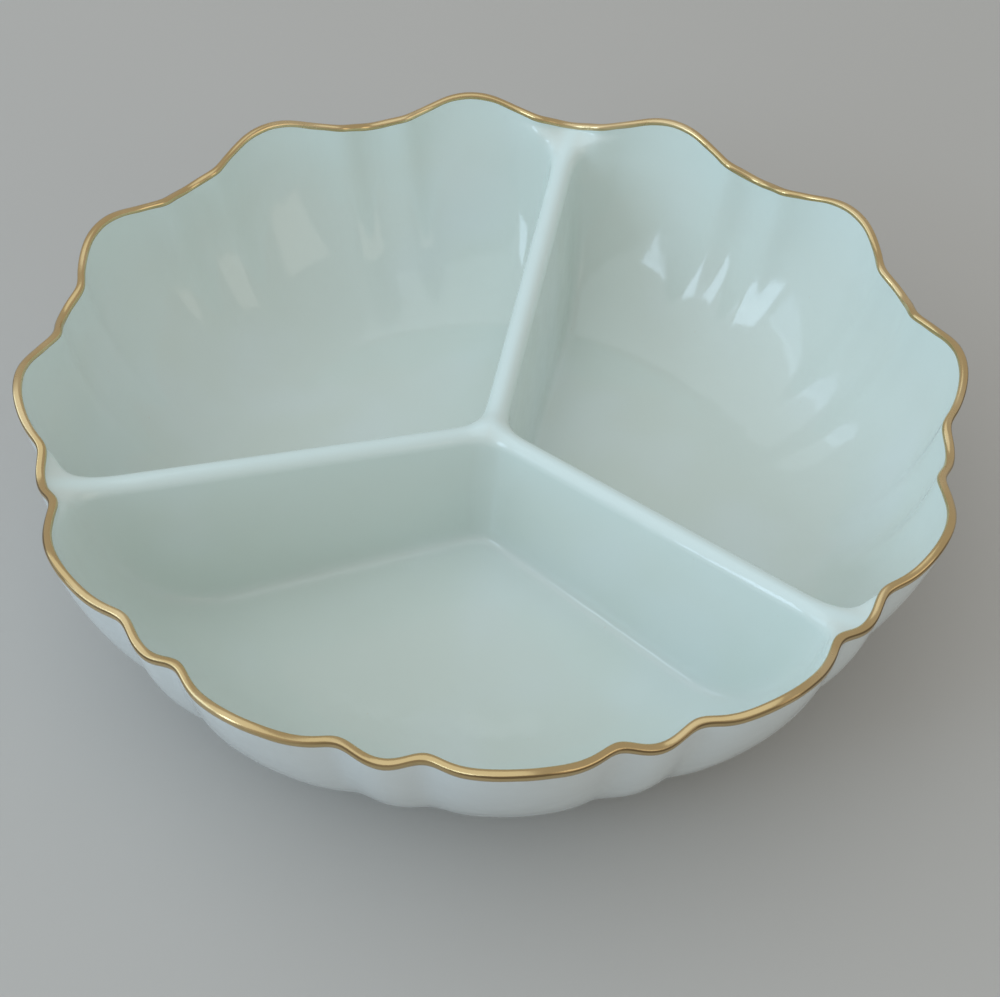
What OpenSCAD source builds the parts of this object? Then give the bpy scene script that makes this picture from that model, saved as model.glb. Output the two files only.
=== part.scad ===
// Round serving bowl in glazed china, parted in three.
// A fluted shell with a scalloped rim stands on a foot ring, three partitions
// run from the middle to narrow lobes of the rim, and the lip is gilded.
// Origin: centre of the face that it rests on. +Z is up, one partition points to +Y.

/* [Rim] */
// Radius of the circle that the rim swings about, at the middle of the lip
rim_r = 118; // [100:1:140]
// Mean height of the middle of the lip above the table
rim_h = 60; // [50:1:75]
// Wide lobes round the rim, with a narrow lobe between each two
lobes = 12; // [6:3:15]
// How far the rim swings out in the middle of a wide lobe
wide_out = 2.9; // [1:0.1:4]
// How far a wide lobe's curve falls from its own middle to the middle of the next narrow lobe
wide_bow = 13.4; // [8:0.1:18]
// How far the rim swings in in the middle of a narrow lobe
narrow_in = 1.2; // [0:0.1:3]
// How far a narrow lobe's curve falls from its own middle to the middle of the next wide lobe
narrow_bow = 26; // [18:0.5:34]
// Height over which the curves of two lobes blend, which rounds the notch between them
notch_blend = 4.5; // [2:0.5:8]
// How far each partition draws the rim in, and how far the rim swells between two of them
draw_in = 1.4; // [0:0.1:3]
// How far the rim rises at a wide lobe and dips at a narrow one
lobe_lift = 2.3; // [0:0.1:4]
// Second lift of the rim, which sharpens the crown of each lobe
crown_lift = 0.4; // [0:0.1:0.6]
// Third lift of the rim, which sharpens the notches
notch_lift = 0.2; // [0:0.1:0.4]
// Thickness of the lip
lip_t = 2.6; // [2:0.1:4]

/* [Wall and floor] */
// Radius of the level floor inside
floor_r = 75; // [60:1:85]
// Thickness of the floor
floor_t = 4; // [2.5:0.1:6]
// How far the level underside reaches past the level floor
base_step = 2; // [1:0.1:4]
// Degrees of an ellipse that the wall's curve runs through
wall_turn = 77; // [60:1:84]
// How fast the flutes fade down the inside of the wall, as a power of the height
inside_fade = 0.55; // [0.4:0.05:2]
// How fast the flutes fade down the outside of the wall, as a power of the height
outside_fade = 0.75; // [0.6:0.05:2]

/* [Partitions] */
// Width of a partition's rounded crest
crest_w = 6.4; // [3:0.1:9]
// How far the crest lies below the rim's mean height in the middle of the bowl
crest_dip = 18; // [10:0.5:25]
// How far the crest lies below the rim's mean height where it meets the wall
crest_end_dip = 5; // [4:0.5:15]
// Lean of a partition's faces from upright, in degrees
draft = 6; // [3:0.5:12]
// Radius of the fillet between a partition and the floor
foot_fillet = 3; // [2:0.5:8]
// Length over which the three partitions swell to meet in the middle
hub_run = 12; // [6:0.5:20]
// Length over which the crest flares towards the wall
flare_run = 14; // [8:0.5:20]
// How much wider the flare makes the crest, on each side
flare_w = 8; // [3:0.5:12]

/* [Foot ring] */
// Mean radius of the foot ring
foot_r = 62; // [45:1:68]
// Height of the foot ring
foot_h = 3.5; // [2:0.1:6]
// Width of the flat face that the bowl rests on
rest_w = 3; // [2:0.1:6]
// Radius of the fillets between the foot ring and the underside
ring_fillet = 2; // [1:0.1:3]

/* [Gilding] */
// Thickness of the gilded band
gilt_t = 0.25; // [0.15:0.05:0.5]

/* [Hidden] */

// Clearance between a partition and what it stands on or meets
seat_gap = 0.3;
// Clearance between the gilding and the lip
gilt_gap = 0.05;
// Least thickness of a partition's thin edge
feather = 0.4;
// Thin edge of the foot ring's fillets
ring_edge = 0.25;

// Height of the inner floor above the table
floor_z = foot_h + floor_t;
// Radius of the level underside
base_r = floor_r + base_step;
// Radius of the lip's round
lip_r = lip_t / 2;
// Radius of a crest's round
crest_r = crest_w / 2;
// Compartments, and the turn that points the first partition to +Y
compartments = 3;
sector = 360 / compartments;
first_turn = 90;
// Lean of the wall from upright at the lip, in degrees
lip_lean = atan((rim_r - base_r) / (rim_h - foot_h)
    * (1 - cos(wall_turn)) / tan(wall_turn) / sin(wall_turn));

// Steps of the mesh: along one lobe, up the wall and round the lip
lobe_steps = 15;
wall_steps = 9;
lip_steps = 5;
around = lobes * lobe_steps;
// Steps round the foot ring and round its fillets
ring_steps = 96;
fillet_steps = 24;
// Halvings in the search for a place on the inner wall
halvings = 16;
// Places along a partition, from the middle to the wall, as shares of its length
station_shares = [0, 0.025, 0.055, 0.1, 0.35, 0.66, 0.75, 0.82, 0.87, 0.91, 0.945, 0.975, 1];
// Degrees of the steps on a crest's round, from its top
crest_turns = [22.5, 45];
// Share of the swell in the middle that the crest takes
hub_crest_share = 0.3;

// Colours of the china and the gilding
china = [0.89, 0.92, 0.90];
gilt = [0.83, 0.66, 0.34];

// How far an angle lies from the middle of a narrow lobe, from 0 to 1 in the middle of a wide one
function lobe_share(a) = abs(((lobes * a + 180) % 360 + 360) % 360 - 180) / 180;
// The greater of two lengths, rounded off where they differ by less than k
function blend_max(p, q, k) = max(p, q) + k / 6 * pow(max(k - abs(p - q), 0) / k, 3);
// The rim's swing in and out at an angle: bows of wide and narrow lobes, drawn in by the partitions
function rim_out(a) = let (u = lobe_share(a))
    blend_max(wide_out - wide_bow * pow(1 - u, 2), -narrow_in - narrow_bow * pow(u, 2), notch_blend)
    - draw_in * cos(compartments * a);
// The rim's rise and fall at an angle: a wave a lobe, with its third and fourth overtone
function rim_up(a) = -lobe_lift * cos(lobes * a) - crown_lift * cos(3 * lobes * a)
    - notch_lift * cos(4 * lobes * a);

// Shares of the wall's reach and of its height at the share t of its curve, an ellipse
function reach(t) = sin(t * wall_turn) / sin(wall_turn);
function climb(t) = (1 - cos(t * wall_turn)) / (1 - cos(wall_turn));

// Radius and height on a round about the middle of the lip, b degrees from its outer side
function lip_point(a, b, r) = [rim_r + rim_out(a) + r * cos(b), rim_h + rim_up(a) + r * sin(b)];
// The degrees of the lip's round at a step, from the inner wall over the top to the outer wall
function lip_turn(k) = 180 - lip_lean - 180 * k / lip_steps;

// Radius and height on one side of the wall: from a level start up to the lip
function wall_point(a, t, start_r, start_z, b, fade) =
    let (mean = [rim_r + lip_r * cos(b), rim_h + lip_r * sin(b)])
    [start_r + (mean.x - start_r) * reach(t) + rim_out(a) * pow(climb(t), fade),
     start_z + (mean.y + rim_up(a) - start_z) * climb(t)];
function inside(a, t) = wall_point(a, t, floor_r, floor_z, 180 - lip_lean, inside_fade);
function outside(a, t) = wall_point(a, t, base_r, foot_h, -lip_lean, outside_fade);

// The share of the inner wall's curve at which it has a radius or a height, found by halving
function share_at(a, axis, value, low = 0, high = 1, n = halvings) =
    let (middle = (low + high) / 2)
    n == 0 ? middle :
    inside(a, middle)[axis] < value ? share_at(a, axis, value, middle, high, n - 1) :
    share_at(a, axis, value, low, middle, n - 1);
// Height of the floor or inner wall at a radius and an angle
function bed(a, r) = r <= floor_r ? floor_z : inside(a, share_at(a, 0, r)).y;

// A point at a radius, an angle from the first partition and a height
function place(p, a) = [p.x * cos(a + first_turn), p.x * sin(a + first_turn), p.y];
function turn_of(j) = j * 360 / around;

// Faces between ring i and ring k of a body that goes all the way round
function band(i, k) = [for (j = [0 : around - 1])
    let (n = (j + 1) % around)
    each [[i * around + j, i * around + n, k * around + n],
          [i * around + j, k * around + n, k * around + j]]];

// The fluted shell: floor, inner wall, lip, outer wall and underside
module bowl_shell() {
    rings = concat(
        [for (k = [0 : wall_steps - 1]) [for (j = [0 : around - 1]) inside(turn_of(j), k / wall_steps)]],
        [for (k = [0 : lip_steps]) [for (j = [0 : around - 1])
            lip_point(turn_of(j), lip_turn(k), lip_r)]],
        [for (k = [wall_steps - 1 : -1 : 0]) [for (j = [0 : around - 1])
            outside(turn_of(j), k / wall_steps)]]);
    count = len(rings);
    points = concat(
        [for (ring = rings) for (j = [0 : around - 1]) place(ring[j], turn_of(j))],
        [[0, 0, floor_z], [0, 0, foot_h]]);
    faces = concat(
        [for (j = [0 : around - 1]) [count * around, (j + 1) % around, j]],
        [for (i = [0 : count - 2]) each band(i, i + 1)],
        [for (j = [0 : around - 1])
            [(count - 1) * around + j, (count - 1) * around + (j + 1) % around, count * around + 1]]);
    color(china) polyhedron(points, faces, convexity = 6);
}

// The gilded band, which wraps the lip from the inner wall to the outer one
module gilt_rim() {
    seat = lip_r + gilt_gap;
    profile = concat([for (k = [0 : lip_steps]) [lip_turn(k), seat + gilt_t]],
        [for (k = [lip_steps : -1 : 0]) [lip_turn(k), seat]]);
    count = len(profile);
    points = [for (p = profile) for (j = [0 : around - 1])
        place(lip_point(turn_of(j), p[0], p[1]), turn_of(j))];
    faces = [for (i = [0 : count - 1]) each band(i, (i + 1) % count)];
    color(gilt) polyhedron(points, faces, convexity = 6);
}

// Where the flared crest ends on the inner wall, just under the lip
flare_top = rim_h + rim_up(0) - lip_r;
function wall_r(a) = inside(a, share_at(a, 1, flare_top - feather - seat_gap)).x - seat_gap;
arm = wall_r(0);
crest_mid_z = rim_h - crest_dip;
crest_end_z = min(rim_h - crest_end_dip, flare_top);

// How far along the last stretch of a partition a place lies, from 0 to 1
function flare(s) = max(0, (s - arm + flare_run) / flare_run);
// Swell of a partition's sides towards the middle, square to the plane between two of them
function hub(s) = s < hub_run ? hub_run * tan(sector / 4) / 2 * pow(1 - s / hub_run, 2) : 0;
// Height of the crest and half its width
function crest_z(s) = crest_mid_z + (crest_end_z - crest_mid_z) * s / arm
    + (flare_top - crest_end_z) * pow(flare(s), 2);
function crest_half(s) = crest_r + flare_w * pow(flare(s), 2) + hub(s) * hub_crest_share;

// Half a cross section at the place s: offsets from the middle and heights, from the
// round of the crest down the drafted face to the toe of the fillet
function half_section(s) =
    let (top = crest_z(s), low = bed(0, min(s, arm)), half = crest_half(s),
         rise = max(top - low, feather),
         f = min(foot_fillet, rise / 2), bend = (90 - draft) / 2, t = f * tan(bend),
         foot = half + rise * tan(draft) + hub(s) * (1 - hub_crest_share))
    [[0, top],
     for (b = crest_turns) [half - crest_r * (1 - sin(b)), top - crest_r * (1 - cos(b))],
     [half, top - crest_r],
     [foot - t * sin(draft), low + t * cos(draft)],
     [foot + t - f * sin(bend), low + f - f * cos(bend)],
     [foot + t, low]];
function whole_section(s) = let (h = half_section(s), n = len(h) - 1)
    concat([for (i = [n : -1 : 1]) [-h[i].x, h[i].y]], h);

// How far along a partition the share q lies at the offset w: from the mitred
// middle to the wall, whose curve the end follows
function along(q, w) =
    let (start = abs(w) / tan(sector / 2) + seat_gap / 2, r = wall_r(asin(w / arm)),
         end = sqrt(r * r - w * w))
    start + (end - start) * q;

// One partition along +X: each column of it reaches from its bed up to its own height
module divider() {
    stations = [for (q = station_shares) [for (p = whole_section(q * arm))
        let (s = along(q, p.x), low = bed(atan2(p.x, s), norm([s, p.x]) + seat_gap) + seat_gap)
        [s, p.x, max(p.y, low + feather), low]]];
    rows = len(stations);
    columns = len(stations[0]);
    half = rows * columns;
    points = concat(
        [for (row = stations) for (p = row) [p[0], p[1], p[2]]],
        [for (row = stations) for (p = row) [p[0], p[1], p[3]]]);
    // The grid's corners go clockwise seen from above, then the edge is walled in
    function at(k, j) = k * columns + j;
    grid = [for (k = [0 : rows - 2]) for (j = [0 : columns - 2])
        [at(k, j), at(k, j + 1), at(k + 1, j + 1), at(k + 1, j)]];
    edge = concat(
        [for (j = [0 : columns - 2]) at(0, j)],
        [for (k = [0 : rows - 2]) at(k, columns - 1)],
        [for (j = [columns - 1 : -1 : 1]) at(rows - 1, j)],
        [for (k = [rows - 1 : -1 : 1]) at(k, 0)]);
    count = len(edge);
    faces = concat(
        [for (q = grid) each [[q[0], q[1], q[2]], [q[0], q[2], q[3]]]],
        [for (q = grid) each [[half + q[2], half + q[1], half + q[0]],
                              [half + q[3], half + q[2], half + q[0]]]],
        [for (i = [0 : count - 1]) let (m = edge[i], n = edge[(i + 1) % count])
            each [[m, half + m, half + n], [m, half + n, n]]]);
    color(china) polyhedron(points, faces, convexity = 6);
}
module back_divider() rotate([0, 0, first_turn]) divider();
module left_divider() rotate([0, 0, first_turn + sector]) divider();
module right_divider() rotate([0, 0, first_turn - sector]) divider();

// The foot ring: a flat rest face, upright sides and a fillet to the underside on each side
module foot_ring() {
    half = rest_w / 2;
    drop = foot_h - ring_edge - ring_fillet;
    color(china) rotate_extrude($fn = ring_steps) difference() {
        translate([foot_r - half - ring_fillet, 0])
            square([rest_w + 2 * ring_fillet, foot_h]);
        for (side = [-1, 1]) translate([foot_r + side * (half + ring_fillet), 0]) {
            translate([0, drop]) circle(ring_fillet, $fn = fillet_steps);
            translate([-ring_fillet, -ring_fillet]) square([2 * ring_fillet, drop + ring_fillet]);
        }
    }
}

bowl_shell();
back_divider();
left_divider();
right_divider();
foot_ring();
gilt_rim();
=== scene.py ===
"""Divided serving bowl in glazed china, dressed over its solid model.

A fluted shell, three partitions that flow into it, a foot ring and a gilded lip.
Angles are measured from the back partition, anticlockwise seen from above.
"""
import math
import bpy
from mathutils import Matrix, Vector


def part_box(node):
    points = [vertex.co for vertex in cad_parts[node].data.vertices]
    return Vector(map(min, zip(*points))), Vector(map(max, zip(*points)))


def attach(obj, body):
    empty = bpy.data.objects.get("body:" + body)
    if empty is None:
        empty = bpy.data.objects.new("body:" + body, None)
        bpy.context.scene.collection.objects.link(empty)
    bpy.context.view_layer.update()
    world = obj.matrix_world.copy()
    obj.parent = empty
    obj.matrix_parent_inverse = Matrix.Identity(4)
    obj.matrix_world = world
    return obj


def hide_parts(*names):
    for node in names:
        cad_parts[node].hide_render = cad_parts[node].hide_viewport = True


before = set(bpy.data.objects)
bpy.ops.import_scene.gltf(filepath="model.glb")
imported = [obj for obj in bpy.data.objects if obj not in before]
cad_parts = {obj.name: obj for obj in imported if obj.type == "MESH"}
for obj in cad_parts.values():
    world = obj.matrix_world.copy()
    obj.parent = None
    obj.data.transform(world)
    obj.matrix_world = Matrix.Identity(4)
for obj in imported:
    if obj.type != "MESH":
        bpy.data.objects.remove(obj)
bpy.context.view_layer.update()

from types import SimpleNamespace

import bmesh
import bpy
import numpy as np
from bpy.props import FloatProperty, FloatVectorProperty, IntProperty, PointerProperty
from mathutils import Matrix, Vector

bl_info = {
    "name": "Divided Serving Bowl",
    "version": (1, 0, 0),
    "blender": (4, 5, 0),
    "location": "View3D > Sidebar > Bowl",
    "description": "Makes a glazed china bowl with three partitions and a gilded, scalloped lip",
    "category": "Object",
}

FOOT_LOW, FOOT_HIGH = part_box("foot_ring")
COMPARTMENTS = 3
SECTOR = 2 * math.pi / COMPARTMENTS

# Steps of the china: along a ridge, a compartment's lip, down a compartment, round the lip's
# section, down the outer wall and over the base
RIDGE_STEPS = 60
LIP_STEPS = 240
ROWS = 70
LIP_ROUND = 10
WALL_ROWS = 18
BASE_ROWS = 1
# Steps of the foot ring, round the bowl and round a quarter of its section's edges
FOOT_STEPS = 180
QUARTER_STEPS = 8
# Steps across the gold band
GILT_ROWS = 14

# How strongly the columns are drawn towards the narrow lobes, and towards the notches
NARROW_CROWD = 0.3
NOTCH_CROWD = 0.4
# How far a ridge's points are drawn to its ends, as a share of its length
RIDGE_CROWD = 0.115
# Radius of the point where a compartment's columns meet, as a share of the rim's
FOCUS_SHARE = 0.42
# The rows of a compartment: the share of even steps, and the power of the rest
EVEN_SHARE = 0.3
ROW_POWER = 2.1
# Where a search down a column ends: under the floor, in shares of its thickness, and over the
# rim, in lip radii
UNDER_SHARE = 0.1
OVER_RADII = 4
# How many times a search is halved
HALVINGS = 44

# Reach of a blend for a fillet's radius of 1, and how the blends grow down from the lip: reach
# for a depth of 1, and the rounding between that and their full reach, in metres
FILLET_REACH = 1.6
FADE_SLOPE = 7.0
FADE_BLEND = 0.014
# The flutes' climb is not followed past this share of the wall
CLIMB_MOST = 1.2
# An exponential's power stays within this
POWER_MOST = 60
# What keeps a division clear of zero: a radius in half axes, and a blend's reach in metres
LEAST_RADIUS = 1e-12
LEAST_BLEND = 1e-9

# Half the stretch over which a slope is measured, in metres, radians or shares of the wall
NORMAL_STEP = 1e-5
# Points this close are merged, and edges this short vanish, in metres
MERGE_REACH = 2e-6
SHORT_EDGE = 1e-7

# Thin glaze: its reach beside a crest in crest radii, its start below the lip as a share of the
# height, and its share at the lip
THIN_REACH = 1.4
THIN_FROM = 0.75
THIN_LIP = 0.4

# How steeply the film of gold rises at the band's edges, in full thicknesses a width
FILM_EDGES = 12
# Waves of the band's brushed edges: how many a turn, their start in radians and their share,
# and how much further on those of the outer edge start
BRUSH_WAVES = [(7, 0.9, 0.30), (19, 2.1, 0.26), (43, 0.4, 0.24), (97, 1.3, 0.20)]
OUTER_START = 2.0

# How strongly the glaze bends light
GLAZE_IOR = 1.52

# Lamps: width and height, place and tint. Their power is a setting of the same name
LAMPS = {
    "window": ((0.75, 0.5), (-1.13, -0.16, 0.36), (0.56, 0.78, 1.0)),
    "door": ((0.4, 0.6), (-0.82, -0.80, 0.52), (0.60, 0.80, 1.0)),
    "ceiling": ((2.6, 2.6), (-0.7, -0.3, 1.5), (0.80, 0.92, 1.0)),
    "fill": ((0.55, 0.9), (1.08, -0.5, 0.40), (1.0, 0.93, 0.83)),
}
# Tint of the even light all round
SKY_TINT = (1.0, 0.975, 0.93)
# Half the floor's side in metres, and its darker tone as a share of its colour
FLOOR_HALF = 2.5
FLOOR_DARKER = 0.94
# The nearest that the camera sees, in metres
CAMERA_NEAR = 0.01


def length(name, description, default):
    """A property that holds a length in metres."""
    return FloatProperty(name=name, description=description, default=default, min=0.0, max=1.0,
                         precision=5, unit="LENGTH", subtype="DISTANCE")


def turn(name, description, degrees):
    """A property that holds an angle, given in degrees."""
    return FloatProperty(name=name, description=description, default=math.radians(degrees),
                         subtype="ANGLE")


def number(name, description, default, high=1.0):
    """A property that holds a plain number."""
    return FloatProperty(name=name, description=description, default=default, min=0.0, max=high)


def colour(name, description, default):
    """A property that holds a linear colour."""
    return FloatVectorProperty(name=name, description=description, default=default, size=3,
                               min=0.0, max=1.0, subtype="COLOR")


class ShellSizes(bpy.types.PropertyGroup):
    """Sizes of the fluted shell and its scalloped rim"""

    rim_r: length("Rim radius", "Radius that the middle of the lip swings about", 0.118)
    rim_h: length("Rim height", "Mean height of the middle of the lip", 0.060)
    lobes: IntProperty(name="Lobes", description="Wide lobes round the rim", default=12, min=3)
    wide_out: length("Wide lobe", "How far the rim swings out at a wide lobe", 0.0029)
    wide_bow: length("Wide bow", "Fall of a wide lobe's curve over half a lobe", 0.0134)
    narrow_in: length("Narrow lobe", "How far the rim swings in at a narrow lobe", 0.0012)
    narrow_bow: length("Narrow bow", "Fall of a narrow lobe's curve over half a lobe", 0.026)
    notch_blend: length("Notch blend", "How near two lobes' curves come before they blend", 0.0056)
    draw_in: length("Draw in", "How far the partitions draw the rim in", 0.0014)
    lobe_lift: length("Lobe lift", "How far the rim rises at a wide lobe", 0.0023)
    crown_lift: length("Crown lift", "Rise with three waves a lobe, sharpens its crown", 0.0004)
    notch_lift: length("Notch lift", "Rise with four waves a lobe, sharpens the notches", 0.0002)
    lip_t: length("Lip thickness", "Thickness of the rounded lip", 0.0021)
    lip_square: number("Lip squareness", "Power of the lip's section: 2 is round", 2.7, 9)
    floor_r: length("Floor radius", "Radius of the level floor inside", 0.075)
    floor_t: length("Floor thickness", "Thickness of the floor", 0.004)
    base_step: length("Base step", "How far the underside reaches past the floor", 0.002)
    wall_turn: turn("Wall turn", "Part of an ellipse that the wall runs through", 77)
    inside_fade: number("Inside fade", "Power with which the flutes fade down the inside", 0.55, 4)
    outside_fade: number("Outside fade", "Power with which the flutes fade down the outside",
                         0.75, 4)
    soften: number("Soften", "How much rounder the inner notches get towards the floor", 0.6, 4)


class PartitionSizes(bpy.types.PropertyGroup):
    """Sizes of the three partitions and of their fillets"""

    crest_w: length("Crest width", "Width of the rounded crest", 0.0065)
    crest_dip: length("Crest dip", "Depth of the crest under the rim in the middle", 0.0178)
    end_dip: length("End dip", "Depth of the crest under the rim at the wall", 0.0052)
    draft: turn("Draft", "Lean of the faces from upright", 6)
    foot_fillet: length("Foot fillet", "Radius between a face and the floor", 0.003)
    wall_fillet: length("Wall fillet", "Radius between a face and the wall", 0.013)
    hub_blend: length("Hub blend", "Reach over which the three flow together", 0.0016)


class GiltSizes(bpy.types.PropertyGroup):
    """Sizes of the gilded band"""

    film: length("Film", "Thickness of the band in its middle", 0.00012)
    sink: length("Sink", "How far the band's back lies in the glaze", 0.00008)
    inner_reach: length("Inner reach", "Way from the crown to the inner edge", 0.0021)
    outer_reach: length("Outer reach", "Way from the crown to the outer edge", 0.0026)
    waver: length("Waver", "How far the brushed edges waver", 0.00022)


class FootSizes(bpy.types.PropertyGroup):
    """Sizes of the foot ring, from its solid"""

    reach: length("Reach", "Outer radius of the ring with its fillet", FOOT_HIGH.x)
    height: length("Height", "Height of the ring", FOOT_HIGH.z)
    rest_w: length("Rest width", "Width of the flat face that it rests on", 0.003)
    fillet: length("Fillet", "Radius of the fillets to the underside", 0.002)
    edge: length("Edge", "Radius of the ring's lower edges", 0.0006)
    sink: length("Sink", "How far the ring's hidden top lies in the base", 0.0006)


class FinishLook(bpy.types.PropertyGroup):
    """Colours and gloss of the glaze, the gold and the bare clay"""

    glaze: colour("Glaze", "Main colour of the glazed china", (0.69, 0.785, 0.76))
    glaze_cool: colour("Cool glaze", "Colour of cooler patches in the glaze", (0.71, 0.80, 0.79))
    glaze_thin: colour("Thin glaze", "Colour on the crests and at the lip", (0.72, 0.865, 0.865))
    glaze_pool: colour("Pooled glaze", "Colour where the glaze has pooled", (0.685, 0.77, 0.73))
    # The outer wall and base get a darker, bluer copy of the glaze: painted shade, since the
    # outside lies in shade
    glaze_out: colour("Shaded outer glaze", "Colour of the outer wall and base", (0.67, 0.735, 0.745))
    gloss: number("Gloss roughness", "Roughness of the glaze", 0.09)
    gold: colour("Gold", "Colour of the fired gold", (0.62, 0.455, 0.22))
    gold_pale: colour("Pale gold", "Colour where the gold is rubbed", (0.78, 0.62, 0.37))
    # A dark colour painted in a thin strand on the gold: a painted reflection of dark surroundings
    # in the convex band
    gold_dark: colour("Painted dark reflection", "Colour of the band's thin dark strand", (0.17, 0.11, 0.05))
    clay: colour("Clay", "Colour of the bare rest face", (0.62, 0.57, 0.49))


class StageLook(bpy.types.PropertyGroup):
    """Camera, floor and lamps"""

    eye: FloatVectorProperty(name="Eye", description="Place of the camera", size=3,
                             default=(0.0598, -0.3157, 0.3687), subtype="TRANSLATION",
                             unit="LENGTH")
    dip: turn("Dip", "How far the camera looks down", 47.83)
    heading: turn("Heading", "Turn of the camera's view from +Y", 10.21)
    roll: turn("Roll", "Roll of the camera", 1.96)
    lens: FloatProperty(name="Lens", description="Focal length in millimetres", default=62.3)
    floor: colour("Floor", "Colour of the floor", (0.53, 0.52, 0.50))
    sky: number("Sky", "Strength of the even light all round", 0.49, 10)
    window: number("Window", "Power of the wide lamp on the left, in watts", 1.75, 1000)
    door: number("Door", "Power of the narrow lamp on the left in front, in watts", 3.0, 1000)
    ceiling: number("Ceiling", "Power of the large lamp overhead, in watts", 11.6, 1000)
    fill: number("Fill", "Power of the tall lamp on the right, in watts", 1.3, 1000)


def plain(group):
    """A property group's values as plain numbers and tuples."""
    values = {}
    for key in group.__annotations__:
        value = getattr(group, key)
        values[key] = value if isinstance(value, (int, float)) else tuple(value)
    return values


def bowl_sizes(scene):
    """All sizes of the bowl, with those that follow from others. The lip leans as the outer
    wall's ellipse does at its top."""
    b = SimpleNamespace(**plain(scene.bowl_shell), **plain(scene.bowl_partition))
    b.foot_h = scene.bowl_foot.height
    b.floor_z = b.foot_h + b.floor_t
    b.base_r = b.floor_r + b.base_step
    b.lip_r = b.lip_t / 2
    b.crest_r = b.crest_w / 2
    cosine, sine = math.cos(b.wall_turn), math.sin(b.wall_turn)
    b.lip_lean = math.atan((b.rim_r - b.base_r) / (b.rim_h - b.foot_h)
                           * (1 - cosine) * cosine / sine ** 2)
    b.inner_turn = math.pi - b.lip_lean
    b.inner_r = b.rim_r + b.lip_r * math.cos(b.inner_turn)
    b.inner_z = b.rim_h + b.lip_r * math.sin(b.inner_turn)
    return b


def rim_out(b, a, soften=0.0):
    """Swing of the rim at the angles a: one parabola for the wide lobes and one for the narrow
    ones, the greater of the two with a rounded notch between them, less a cosine that the
    partitions draw in. Along runs from 0 on a narrow lobe to 1 on a wide one, and soften widens
    the rounding by that share."""
    along = np.abs((b.lobes * a / math.pi + 1) % 2 - 1)
    wide = b.wide_out - b.wide_bow * (1 - along) ** 2
    narrow = -b.narrow_in - b.narrow_bow * along ** 2
    blend = b.notch_blend * (1 + soften)
    return -smooth_least(-wide, -narrow, blend) - b.draw_in * np.cos(COMPARTMENTS * a)


def rim_up(b, a):
    """Rise of the rim at the angles a: three cosines, with one, three and four waves a lobe."""
    wave = b.lobes * a
    return -(b.lobe_lift * np.cos(wave) + b.crown_lift * np.cos(3 * wave)
             + b.notch_lift * np.cos(4 * wave))


def lip_point(b, a, around, r):
    """Radius and height at an angle round the middle of the lip. The section is a rounded
    square, |cos|^n + |sin|^n = 1 about the lip's lean, and r is its half width."""
    lean = around + b.lip_lean
    corner = np.abs(np.cos(lean)) ** b.lip_square + np.abs(np.sin(lean)) ** b.lip_square
    reach = r * corner ** (-1 / b.lip_square)
    return (b.rim_r + rim_out(b, a) + reach * np.cos(around),
            b.rim_h + rim_up(b, a) + reach * np.sin(around))


def outer_point(b, a, t):
    """Radius and height on the outer wall: a stretch of an ellipse, from t = 0 at the base to
    t = 1 at the lip, to which the rim's swing is added by a power of the height."""
    reach = np.sin(t * b.wall_turn) / math.sin(b.wall_turn)
    climb = (1 - np.cos(t * b.wall_turn)) / (1 - math.cos(b.wall_turn))
    top_r = b.rim_r + b.lip_r * math.cos(b.lip_lean)
    top_z = b.rim_h - b.lip_r * math.sin(b.lip_lean) + rim_up(b, a)
    return (b.base_r + (top_r - b.base_r) * reach + rim_out(b, a) * climb ** b.outside_fade,
            b.foot_h + (top_z - b.foot_h) * climb)


def shell_distance(b, r, a, z):
    """Distance above the floor and inside the inner wall. The wall is the ellipse
    X^2 + (1 - Z)^2 = 1, with X and Z measured in its half axes. The distance is what the root
    of that sum leaves to 1, divided by the root's slope."""
    top = b.inner_z + rim_up(b, a)
    climb = np.clip((z - b.floor_z) / (top - b.floor_z), 0, CLIMB_MOST)
    half_x = (b.inner_r - b.floor_r) / math.sin(b.wall_turn)
    half_z = (top - b.floor_z) / (1 - math.cos(b.wall_turn))
    swing = rim_out(b, a, b.soften * (1 - climb)) * climb ** b.inside_fade
    x = np.maximum(r - b.floor_r - swing, 0) / half_x
    up = 1 - (z - b.floor_z) / half_z
    radius = np.sqrt(x * x + up * up) + LEAST_RADIUS
    slope = np.sqrt((x / half_x) ** 2 + (up / half_z) ** 2) / radius
    return (1 - radius) / slope


def partition_distance(b, s, w, z):
    """Distance from one partition: s runs out along it and w across it. Its section is a round
    crest on two leaning faces, and its start in the middle is a half round."""
    crest = b.rim_h - b.crest_dip + (b.crest_dip - b.end_dip) * np.clip(s / b.inner_r, 0, 1)
    across = np.hypot(w, np.minimum(s, 0))
    up = z - (crest - b.crest_r)
    cosine, sine = math.cos(b.draft), math.sin(b.draft)
    face = across * cosine + up * sine
    return np.where(up * cosine > across * sine, np.hypot(across, up), face) - b.crest_r


def smooth_least(p, q, k):
    """The lesser of p and q, rounded off by a cubic where they differ by less than k."""
    h = np.maximum(k - np.abs(p - q), 0) / np.maximum(k, LEAST_BLEND)
    return np.minimum(p, q) - h ** 3 * k / 6


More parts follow.
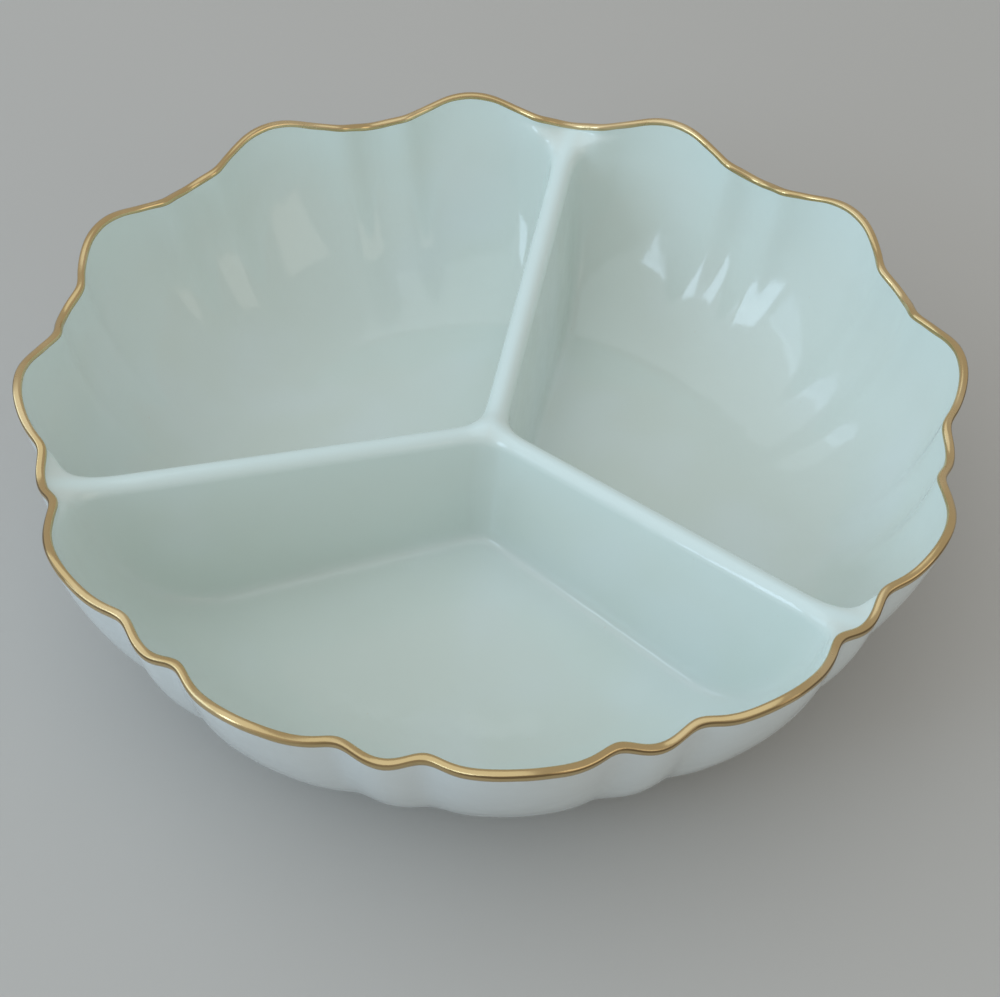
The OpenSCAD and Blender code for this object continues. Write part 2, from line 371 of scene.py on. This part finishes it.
def bowl_distance(b, x, y, z):
    """Distance from the china inside the bowl: the floor and wall, and the three partitions
    merged by a sum of exponentials, joined by a fillet that fades out under the lip."""
    r, a = np.hypot(x, y), np.arctan2(-x, y)
    total = 0
    for i in range(COMPARTMENTS):
        sine, cosine = math.sin(i * SECTOR), math.cos(i * SECTOR)
        s, w = -x * sine + y * cosine, np.abs(x * cosine + y * sine)
        power = partition_distance(b, s, w, z) / b.hub_blend
        total = total + np.exp(-np.clip(power, -POWER_MOST, POWER_MOST))
    partitions = -b.hub_blend * np.log(total)
    top = b.inner_z + rim_up(b, a)
    climb = np.clip((z - b.floor_z) / (top - b.floor_z), 0, 1)
    fillet = b.foot_fillet + (b.wall_fillet - b.foot_fillet) * climb
    fading = FADE_SLOPE * np.maximum(top - z, 0)
    k = np.maximum(smooth_least(FILLET_REACH * fillet, fading, FADE_BLEND), 0)
    return smooth_least(shell_distance(b, r, a, z), partitions, k)


def root(function, low, high):
    """Where a function that grows from low to high passes zero, by halving all at once."""
    for _ in range(HALVINGS):
        middle = (low + high) / 2
        above = function(middle) > 0
        low, high = np.where(above, low, middle), np.where(above, middle, high)
    return (low + high) / 2


def ridge(b, count):
    """Points on the line over the first partition, from the middle to the lip, where the lines
    on which s + z stays the same cut the china. They lie closer at both ends."""
    end_r, end_z = b.inner_r + rim_out(b, 0.0), b.inner_z + rim_up(b, 0.0)
    zero = np.zeros(1)
    hub_z = root(lambda z: bowl_distance(b, zero, zero, z), zero + b.floor_z, zero + b.rim_h)[0]
    q = np.linspace(0, 1, count + 1)
    q = q - RIDGE_CROWD * np.sin(2 * math.pi * q)
    total = hub_z + (end_r + end_z - hub_z) * q
    z = root(lambda z: bowl_distance(b, 0 * z, total - z, z),
             np.maximum(total - end_r, b.floor_z), np.minimum(total, b.rim_h + b.lip_r) + 0 * q)
    s = total - z
    s[0], s[-1], z[-1] = 0, end_r, end_z
    return s, z


def columns(b, count):
    """Angles of a turn's columns, from 0 to a whole turn. Two sines, with one wave a lobe and
    with two, draw them towards the notches, where the rim bends most."""
    a = np.linspace(0, 2 * math.pi, count + 1)
    wave = b.lobes * a
    return a - (NARROW_CROWD * np.sin(wave) - NOTCH_CROWD * np.sin(2 * wave) / 2) / b.lobes


def thin_share(b, points):
    """How thin the glaze lies inside the bowl: 1 along the crests, 0 on the floor and walls,
    and a share between at the lip."""
    x, y, z = np.moveaxis(points, -1, 0)
    across = []
    for i in range(COMPARTMENTS):
        sine, cosine = math.sin(i * SECTOR), math.cos(i * SECTOR)
        across.append(np.hypot(x * cosine + y * sine, np.minimum(y * cosine - x * sine, 0)))
    crest = np.clip(1 - np.minimum.reduce(across) / (THIN_REACH * b.crest_r), 0, 1)
    lip = np.clip((z - b.rim_h * THIN_FROM) / (b.rim_h * (1 - THIN_FROM)), 0, 1)
    return np.maximum(crest * crest * (3 - 2 * crest), THIN_LIP * lip)


def compartment(b):
    """One compartment's surface, from its edge down to the floor. Each column runs in plan from
    a point of the edge, on a ridge or the lip, to one focus on the floor, and each row is the
    same way down a column, measured as plan length plus height, closer under the edge."""
    s, z = ridge(b, RIDGE_STEPS)
    a = columns(b, COMPARTMENTS * LIP_STEPS)[1:LIP_STEPS]
    lip_r, lip_z = b.inner_r + rim_out(b, a), b.inner_z + rim_up(b, a)
    back = slice(-1, 0, -1)
    edge_r = np.concatenate([s, lip_r, s[back]])
    edge_a = np.concatenate([0 * s, a, 0 * s[back] + SECTOR])
    edge_z = np.concatenate([z, lip_z, z[back]])
    edge = np.stack([-edge_r * np.sin(edge_a), edge_r * np.cos(edge_a)], -1)
    focus_r = FOCUS_SHARE * b.rim_r
    focus = np.array([-focus_r * math.sin(SECTOR / 2), focus_r * math.cos(SECTOR / 2)])
    run = np.linalg.norm(edge - focus, axis=1)
    way = (edge - focus) / run[:, None]
    full = run + edge_z - b.floor_z
    near = np.linspace(0, 1, ROWS + 1)
    down = full[:, None] * (EVEN_SHARE * near + (1 - EVEN_SHARE) * near ** ROW_POWER)[None, :]
    total = b.floor_z + full[:, None] - down

    def height(z):
        p = total - z
        x = focus[0] + p * way[:, :1]
        y = focus[1] + p * way[:, 1:]
        return bowl_distance(b, x, y, z)

    low = np.maximum(total - run[:, None], b.floor_z - UNDER_SHARE * b.floor_t)
    z = root(height, low, np.minimum(total, b.rim_h + OVER_RADII * b.lip_r))
    z[:, 0] = edge_z
    z[:, -1] = b.floor_z
    p = total - z
    p[:, 0], p[:, -1] = run, 0
    return np.stack([focus[0] + p * way[:, :1], focus[1] + p * way[:, 1:], z], -1)


def turned(points, angle):
    """Points turned about the bowl's axis."""
    sine, cosine = math.sin(angle), math.cos(angle)
    x, y, z = points[..., 0], points[..., 1], points[..., 2]
    return np.stack([x * cosine - y * sine, x * sine + y * cosine, z], -1)


def placed(r, a, z):
    """Radius, angle and height as points."""
    r, a, z = np.broadcast_arrays(r, a, z)
    return np.stack([-r * np.sin(a), r * np.cos(a), z], -1)


def wrapped(points, axis):
    """A grid with its first line repeated at the end, which closes it round that axis."""
    return np.concatenate([points, np.take(points, [0], axis)], axis)


def unit(vectors):
    """Vectors of length 1 along the given ones."""
    return vectors / np.linalg.norm(vectors, axis=-1, keepdims=True)


def surface_normals(b, points):
    """Unit normals of the china inside the bowl: the slope of its distance, by differences over
    a short step both ways along each axis."""
    slopes = []
    for step in NORMAL_STEP * np.eye(3):
        ahead, behind = points + step, points - step
        slopes.append(bowl_distance(b, *np.moveaxis(ahead, -1, 0))
                      - bowl_distance(b, *np.moveaxis(behind, -1, 0)))
    return unit(np.stack(slopes, -1))


def outer_normals(b, a, t):
    """Unit normals of the outer wall, square to its slopes round the bowl and up the wall."""

    def point(a, t):
        r, z = outer_point(b, a, t)
        return placed(r, a, z)

    along = point(a + NORMAL_STEP, t) - point(a - NORMAL_STEP, t)
    up = point(a, t + NORMAL_STEP) - point(a, t - NORMAL_STEP)
    return unit(np.cross(along, up))


def make_piece(name, grids, marks, normals=None):
    """One welded piece from grids of points: each grid's cells become quads, equal points are
    merged, cells without area vanish, and the faces are turned outwards. The marks are each
    grid's values of the attributes that its finish reads, by name. The normals, where given,
    are each grid's own, and zero leaves a point with its faces' mean."""
    points, faces, first = [], [], 0
    for grid in grids:
        m, n = grid.shape[:2]
        index = first + np.arange(m * n).reshape(m, n)
        faces.append(np.stack([index[:-1, :-1], index[1:, :-1], index[1:, 1:], index[:-1, 1:]],
                              -1).reshape(-1, 4))
        points.append(grid.reshape(-1, 3))
        first += m * n
    mesh = bpy.data.meshes.new(name)
    mesh.from_pydata(np.concatenate(points), [], np.concatenate(faces).tolist())
    for mark, values in marks.items():
        spread = [np.broadcast_to(value, grid.shape[:2]).ravel()
                  for value, grid in zip(values, grids)]
        mesh.attributes.new(mark, "FLOAT", "POINT").data.foreach_set(
            "value", np.concatenate(spread).astype(np.float32))
    if normals:
        spread = [np.broadcast_to(normal, grid.shape).reshape(-1, 3)
                  for normal, grid in zip(normals, grids)]
        mesh.attributes.new("own_normal", "FLOAT_VECTOR", "POINT").data.foreach_set(
            "vector", np.concatenate(spread).astype(np.float32).ravel())
    made = bmesh.new()
    made.from_mesh(mesh)
    bmesh.ops.remove_doubles(made, verts=made.verts, dist=MERGE_REACH)
    bmesh.ops.dissolve_degenerate(made, edges=made.edges, dist=SHORT_EDGE)
    bmesh.ops.recalc_face_normals(made, faces=made.faces)
    for face in made.faces:
        face.smooth = True
    open_edges = sum(not edge.is_manifold for edge in made.edges)
    made.to_mesh(mesh)
    made.free()
    if normals:
        own = np.empty(3 * len(mesh.vertices), np.float32)
        mesh.attributes["own_normal"].data.foreach_get("vector", own)
        mesh.attributes.remove(mesh.attributes["own_normal"])
        mesh.normals_split_custom_set_from_vertices(own.reshape(-1, 3).tolist())
    if open_edges:
        raise RuntimeError(f"{name} has {open_edges} open edges")
    piece = bpy.data.objects.new(name, mesh)
    bpy.context.scene.collection.objects.link(piece)
    return piece


class Wire:
    """A node's output that can be written in sums: each operator adds its own Math node."""

    def __init__(self, finish, socket):
        self.finish, self.socket = finish, socket

    def math(self, operation, *values):
        """Adds one Math node to the finish, on the given values."""
        return self.finish.node("ShaderNodeMath", {"operation": operation},
                                dict(enumerate(values)))

    def __add__(self, other):
        return self.math("ADD", self, other)

    __radd__ = __add__

    def __mul__(self, other):
        return self.math("MULTIPLY", self, other)

    __rmul__ = __mul__

    def __sub__(self, other):
        return self.math("SUBTRACT", self, other)

    def __rsub__(self, other):
        return self.math("SUBTRACT", other, self)


class Finish:
    """A material in the making."""

    def __init__(self, name):
        self.material = bpy.data.materials.new(name)
        self.material.use_nodes = True
        self.tree = self.material.node_tree
        self.tree.nodes.clear()
        self.place = self.node("ShaderNodeTexCoord", output="Object")

    def node(self, kind, settings=None, inputs=None, output=0):
        """Adds a node: its settings are set first, then its sockets get their values or links.
        It gives the output asked for, or nothing where the node has none."""
        made = self.tree.nodes.new(kind)
        for key, value in (settings or {}).items():
            setattr(made, key, value)
        for key, value in (inputs or {}).items():
            socket = made.inputs[key]
            if isinstance(value, Wire):
                self.tree.links.new(value.socket, socket)
            elif socket.type == "RGBA" and len(value) == 3:
                socket.default_value = (*value, 1.0)
            else:
                socket.default_value = value
        return Wire(self, made.outputs[output]) if made.outputs else None

    def noise(self, scale, detail=2.0, roughness=0.5, stretch=(1, 1, 1)):
        """Smooth noise from 0 to 1, so many grains a metre, stretched along the axes."""
        place = self.node("ShaderNodeMapping", None, {"Vector": self.place, "Scale": stretch})
        return self.node("ShaderNodeTexNoise", None,
                         {"Vector": place, "Scale": scale, "Detail": detail,
                          "Roughness": roughness}, "Fac")

    def between(self, value, low, high):
        """0 where the value is under low, 1 where it is over high, smooth between."""
        return self.node("ShaderNodeMapRange", {"interpolation_type": "SMOOTHSTEP"},
                         {"Value": value, "From Min": low, "From Max": high}, "Result")

    def mix(self, mask, first, second):
        """A colour that goes from the first to the second with the mask. Inputs 0, 6 and 7 of a
        Mix node are its factor and its two colours, and output 2 is the mixed colour."""
        return self.node("ShaderNodeMix", {"data_type": "RGBA"},
                         {0: mask, 6: first, 7: second}, 2)

    def bump(self, height, depth, strength=1.0, normal=None):
        """A normal that leans with a height map of that real depth."""
        inputs = {"Height": height, "Distance": depth, "Strength": strength}
        if normal is not None:
            inputs["Normal"] = normal
        return self.node("ShaderNodeBump", None, inputs)

    def mark(self, name):
        """The mesh's own value of that name."""
        return self.node("ShaderNodeAttribute", {"attribute_name": name}, output="Fac")

    def close(self, **inputs):
        """Adds the main shader and the output, and gives the material."""
        sockets = {key.replace("_", " "): value for key, value in inputs.items()}
        shader = self.node("ShaderNodeBsdfPrincipled", None, sockets)
        self.node("ShaderNodeOutputMaterial", None, {"Surface": shader})
        return self.material


def glazed_china(look, b):
    """Clear glossy glaze on ivory china: slow drifts of tone, pooled glaze low in the bowl, a skin
    that is not quite level, and a few pin holes. The outer wall, the base and the lip's outer half
    are painted darker and bluer with shade."""
    made = Finish("glazed_china")
    height = made.node("ShaderNodeSeparateXYZ", None, {"Vector": made.place}, "Z")
    drift = made.noise(scale=9.0, detail=3.0)
    clear = made.between(height, low=b.floor_z, high=b.rim_h)
    tone = made.mix(clear * 0.55 + drift * 0.35, look["glaze_pool"], look["glaze"])
    cool = made.between(made.noise(scale=23.0, detail=2.0), low=0.45, high=0.75)
    tone = made.mix(cool, tone, look["glaze_cool"])
    tone = made.mix(made.mark("thin"), tone, look["glaze_thin"])
    # Painted shade: the outer wall, the base and the lip's outer half take the darker outer colour
    tone = made.mix(made.mark("outside"), tone, look["glaze_out"])
    holes = made.between(made.noise(scale=900.0, detail=1.0), low=0.80, high=0.86)
    tone = made.mix(holes * 0.5, tone, look["clay"])
    gloss = made.noise(scale=60.0, detail=3.0) * 0.05 + look["gloss"] - 0.02
    skin = made.bump(made.noise(scale=42.0, detail=1.5), depth=0.0009, strength=0.35)
    skin = made.bump(made.noise(scale=120.0, detail=1.5), 0.00012, 0.8, normal=skin)
    skin = made.bump(made.noise(scale=420.0, detail=2.0), 0.00004, 0.3, normal=skin)
    return made.close(Base_Color=tone, Roughness=gloss, IOR=GLAZE_IOR, Normal=skin)


def fired_gold(look):
    """Bright fired gold: brushed on by hand, so its tone and gloss waver along the lip, rubbed
    paler in places, and with a thin dark strand along parts of its outer half, which is a painted
    reflection of dark surroundings."""
    made = Finish("gilding")
    brushed = made.noise(scale=160.0, detail=4.0, roughness=0.6, stretch=(1, 1, 0.4))
    rubbed = made.between(made.noise(scale=38.0, detail=3.0), low=0.5, high=0.72)
    tone = made.mix(rubbed * 0.6 + brushed * 0.3, look["gold"], look["gold_pale"])
    # Painted reflection: a thin dark strand across the band's outer half, in places, for the dark
    # surroundings that the gold reflects
    across = made.mark("across") + (made.noise(scale=24.0, detail=2.0) - 0.5) * 0.2
    strand = (made.between(across, low=0.57, high=0.61)
              - made.between(across, low=0.66, high=0.71))
    there = made.between(made.noise(scale=17.0, detail=1.0), low=0.38, high=0.58)
    tone = made.mix(strand * there * 0.85, tone, look["gold_dark"])
    gloss = brushed * 0.16 + rubbed * 0.08 + 0.14
    skin = made.bump(made.noise(scale=700.0, detail=3.0), depth=0.00003, strength=0.5)
    return made.close(Base_Color=tone, Metallic=1.0, Roughness=gloss, Normal=skin)


def foot_china(look):
    """The glaze of the bowl down the ring's sides, in the outer colour with its painted shade, and
    bare fired clay on its rest face.
    """
    made = Finish("foot_china")
    height = made.node("ShaderNodeSeparateXYZ", None, {"Vector": made.place}, "Z")
    edge = made.noise(scale=140.0, detail=2.0) * 0.0006 + height
    glazed = made.between(edge, low=0.0006, high=0.0009)
    grain = made.noise(scale=1500.0, detail=3.0)
    clay = made.mix(grain * 0.6, look["clay"], look["glaze_pool"])
    # The glazed sides take the outer colour, which is painted shade
    tone = made.mix(glazed, clay, look["glaze_out"])
    gloss = 0.75 - glazed * 0.62 + grain * 0.06
    skin = made.bump(grain, depth=0.00005, strength=0.4)
    return made.close(Base_Color=tone, Roughness=gloss, IOR=GLAZE_IOR, Normal=skin)


def floor_finish(look):
    """A plain pale floor with a faint drift of tone."""
    made = Finish("floor")
    shade = look["floor"]
    darker = tuple(FLOOR_DARKER * channel for channel in shade)
    tone = made.mix(made.noise(scale=4.0, detail=3.0), shade, darker)
    return made.close(Base_Color=tone, Roughness=0.75)


def dress(piece, material, slot, *nodes):
    """Gives a piece its material and its body, and hides the solids that it stands for. The slot
    is not used.
    """
    piece.data.materials.append(material)
    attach(piece, "root")
    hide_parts(*nodes)


class BOWL_OT_china(bpy.types.Operator):
    """Makes the shell and its partitions as one glazed skin"""

    bl_idname = "bowl.china"
    bl_label = "China Bowl"

    def execute(self, context):
        b = bowl_sizes(context.scene)
        inner = wrapped(compartment(b), 0)
        a = columns(b, COMPARTMENTS * LIP_STEPS)[None, :]
        over = np.linspace(0, 1, LIP_ROUND + 1)[:, None]
        around = np.linspace(b.inner_turn, -b.lip_lean, LIP_ROUND + 1)[:, None]
        lip_r, lip_z = lip_point(b, a, around, b.lip_r)
        t = np.linspace(1, 0, WALL_ROWS + 1)[:, None]
        wall_r, wall_z = outer_point(b, a, t)
        base = np.linspace(1, 0, BASE_ROWS + 1)[:, None]
        grids = [turned(inner, i * SECTOR) for i in range(COMPARTMENTS)]
        grids += [placed(lip_r, a, lip_z), placed(wall_r, a, wall_z),
                  placed(b.base_r * base, a, b.foot_h)]
        # The outside mark places the outer colour with its painted shade: across the lip's
        # section, on the outer wall and on the base
        marks = {"outside": [0] * COMPARTMENTS + [over, 1, 1],
                 "thin": [thin_share(b, inner)] * COMPARTMENTS + [THIN_LIP, 0, 0]}
        inside = surface_normals(b, inner)
        normals = [turned(inside, i * SECTOR) for i in range(COMPARTMENTS)]
        normals += [np.zeros(3), outer_normals(b, a, t), np.zeros(3)]
        piece = make_piece("china_bowl", grids, marks, normals)
        material = glazed_china(plain(context.scene.bowl_finish), b)
        dress(piece, material, "glazed_china",
              "bowl_shell", "back_divider", "left_divider", "right_divider")
        return {"FINISHED"}


class BOWL_OT_foot(bpy.types.Operator):
    """Makes the foot ring with its fillets and its bare rest face"""

    bl_idname = "bowl.foot"
    bl_label = "Foot Ring"

    def execute(self, context):
        f = SimpleNamespace(**plain(context.scene.bowl_foot))
        half = f.rest_w / 2
        middle = f.reach - f.fillet - half
        quarter = np.linspace(0, math.pi / 2, QUARTER_STEPS + 1)
        # Half the section, down its fillet and round its lower edge, then that half mirrored
        # and both closed over the hidden top
        out = np.concatenate([half + f.fillet - f.fillet * np.sin(quarter),
                              half - f.edge + f.edge * np.cos(quarter)])
        up = np.concatenate([f.height - f.fillet + f.fillet * np.cos(quarter),
                             f.edge - f.edge * np.sin(quarter)])
        out = np.concatenate([[half + f.fillet], out, -out[::-1], [-half - f.fillet]])
        up = np.concatenate([[f.height + f.sink], up, up[::-1], [f.height + f.sink]])
        a = np.linspace(0, 2 * math.pi, FOOT_STEPS + 1)[None, :]
        ring = placed(middle + wrapped(out, 0)[:, None], a, wrapped(up, 0)[:, None])
        piece = make_piece("foot_ring_china", [ring], {})
        dress(piece, foot_china(plain(context.scene.bowl_finish)), "glazed_china", "foot_ring")
        return {"FINISHED"}


class BOWL_OT_gilding(bpy.types.Operator):
    """Makes the gold band, brushed over the lip from the inner wall to the outer one"""

    bl_idname = "bowl.gilding"
    bl_label = "Gilding"

    def execute(self, context):
        b = bowl_sizes(context.scene)
        g = SimpleNamespace(**plain(context.scene.bowl_gilt))
        a = columns(b, COMPARTMENTS * LIP_STEPS)[None, :]
        inner = -g.inner_reach + g.waver * waver(a)
        outer = g.outer_reach + g.waver * waver(a, OUTER_START)
        q = np.linspace(0, 1, GILT_ROWS + 1)[:, None]
        way = inner + (outer - inner) * q
        film = g.film * np.clip(FILM_EDGES * q * (1 - q), 0, 1)
        front = lip_offset(b, a, way, film)
        back = lip_offset(b, a, way[::-1], -g.sink)
        band = wrapped(np.concatenate([front, back]), 0)
        # The across mark places the band's painted dark reflection
        across = wrapped(np.concatenate([q, q[::-1]]), 0)
        piece = make_piece("gilt_rim_band", [band], {"across": [across]})
        dress(piece, fired_gold(plain(context.scene.bowl_finish)), "gilding", "gilt_rim")
        return {"FINISHED"}


def waver(a, start=0.0):
    """An unsteady brush line round the rim, within -1 to 1: a sum of sines with whole numbers
    of waves a turn, so that it closes."""
    return sum(share * np.sin(count * a + first + start) for count, first, share in BRUSH_WAVES)


def lip_offset(b, a, way, rise):
    """Points at a way round the lip's section, measured from its crown, and a rise off the
    china. Past the half round the section runs straight down the wall."""
    half_turn = b.lip_r * math.pi / 2
    bent = np.clip(way, -half_turn, half_turn)
    past = way - bent
    around = math.pi / 2 - b.lip_lean - bent / b.lip_r
    r, z = lip_point(b, a, around, b.lip_r + rise)
    return placed(r + past * np.sin(around), a, z - past * np.cos(around))


class BOWL_OT_stage(bpy.types.Operator):
    """Makes the camera, the pale floor, the even light and the soft lamps"""

    bl_idname = "bowl.stage"
    bl_label = "Stage"

    def execute(self, context):
        scene = context.scene
        s = SimpleNamespace(**plain(scene.bowl_stage))
        scene.view_settings.view_transform = "Standard"
        add_camera(scene, s)
        floor = make_floor(FLOOR_HALF)
        floor.data.materials.append(floor_finish(vars(s)))
        world = bpy.data.worlds.new("studio")
        world.use_nodes = True
        sky = world.node_tree.nodes["Background"].inputs
        sky["Color"].default_value = (*SKY_TINT, 1.0)
        sky["Strength"].default_value = s.sky
        scene.world = world
        for name, (size, place, tint) in LAMPS.items():
            add_lamp(scene, name, getattr(s, name), size, place, tint)
        return {"FINISHED"}


def add_camera(scene, s):
    """The camera at its place, turned by its heading, its dip and its roll."""
    cosine, sine = math.cos(s.heading), math.sin(s.heading)
    ahead = Vector((-sine * math.cos(s.dip), cosine * math.cos(s.dip), -math.sin(s.dip)))
    right = Vector((cosine, sine, 0))
    up = right.cross(ahead)
    right, up = (right * math.cos(s.roll) + up * math.sin(s.roll),
                 up * math.cos(s.roll) - right * math.sin(s.roll))
    camera = bpy.data.objects.new("camera", bpy.data.cameras.new("camera"))
    camera.data.lens = s.lens
    camera.data.clip_start = CAMERA_NEAR
    axes = Matrix((right, up, -ahead)).transposed().to_4x4()
    camera.matrix_world = Matrix.Translation(s.eye) @ axes
    scene.collection.objects.link(camera)
    scene.camera = camera


def make_floor(half):
    """A level square under the bowl."""
    mesh = bpy.data.meshes.new("floor")
    mesh.from_pydata([(-half, -half, 0), (half, -half, 0), (half, half, 0), (-half, half, 0)],
                     [], [(0, 1, 2, 3)])
    floor = bpy.data.objects.new("floor", mesh)
    bpy.context.scene.collection.objects.link(floor)
    return floor


def add_lamp(scene, name, power, size, place, tint):
    """A rectangular soft lamp that faces the bowl."""
    data = bpy.data.lights.new(name, "AREA")
    data.shape = "RECTANGLE"
    data.size, data.size_y = size
    data.energy = power
    data.color = tint
    lamp = bpy.data.objects.new(name, data)
    lamp.location = place
    lamp.rotation_mode = "QUATERNION"
    lamp.rotation_quaternion = (-Vector(place)).to_track_quat("-Z", "Y")
    scene.collection.objects.link(lamp)


class BOWL_PT_sidebar(bpy.types.Panel):
    """Lists the bowl's pieces in the sidebar"""

    bl_idname = "BOWL_PT_sidebar"
    bl_label = "Divided Serving Bowl"
    bl_space_type = "VIEW_3D"
    bl_region_type = "UI"
    bl_category = "Bowl"

    def draw(self, context):
        for operator in OPERATORS:
            self.layout.operator(operator.bl_idname)
        for key in GROUPS:
            box = self.layout.box()
            group = getattr(context.scene, key)
            for name in group.__annotations__:
                box.prop(group, name)


OPERATORS = [BOWL_OT_china, BOWL_OT_foot, BOWL_OT_gilding, BOWL_OT_stage]
GROUPS = {"bowl_shell": ShellSizes, "bowl_partition": PartitionSizes, "bowl_gilt": GiltSizes,
          "bowl_foot": FootSizes, "bowl_finish": FinishLook, "bowl_stage": StageLook}


def register():
    """Registers the classes and hangs the groups of sizes on the scene."""
    for kind in [*GROUPS.values(), *OPERATORS, BOWL_PT_sidebar]:
        bpy.utils.register_class(kind)
    for key, group in GROUPS.items():
        setattr(bpy.types.Scene, key, PointerProperty(type=group))


def unregister():
    """Takes the groups of sizes and the classes away again."""
    for key in GROUPS:
        delattr(bpy.types.Scene, key)
    for kind in reversed([*GROUPS.values(), *OPERATORS, BOWL_PT_sidebar]):
        bpy.utils.unregister_class(kind)


def main():
    """Makes every piece in order."""
    register()
    for step in (bpy.ops.bowl.stage, bpy.ops.bowl.china, bpy.ops.bowl.foot, bpy.ops.bowl.gilding):
        if step() != {"FINISHED"}:
            raise RuntimeError("a piece was not finished")


if __name__ == "__main__":
    main()
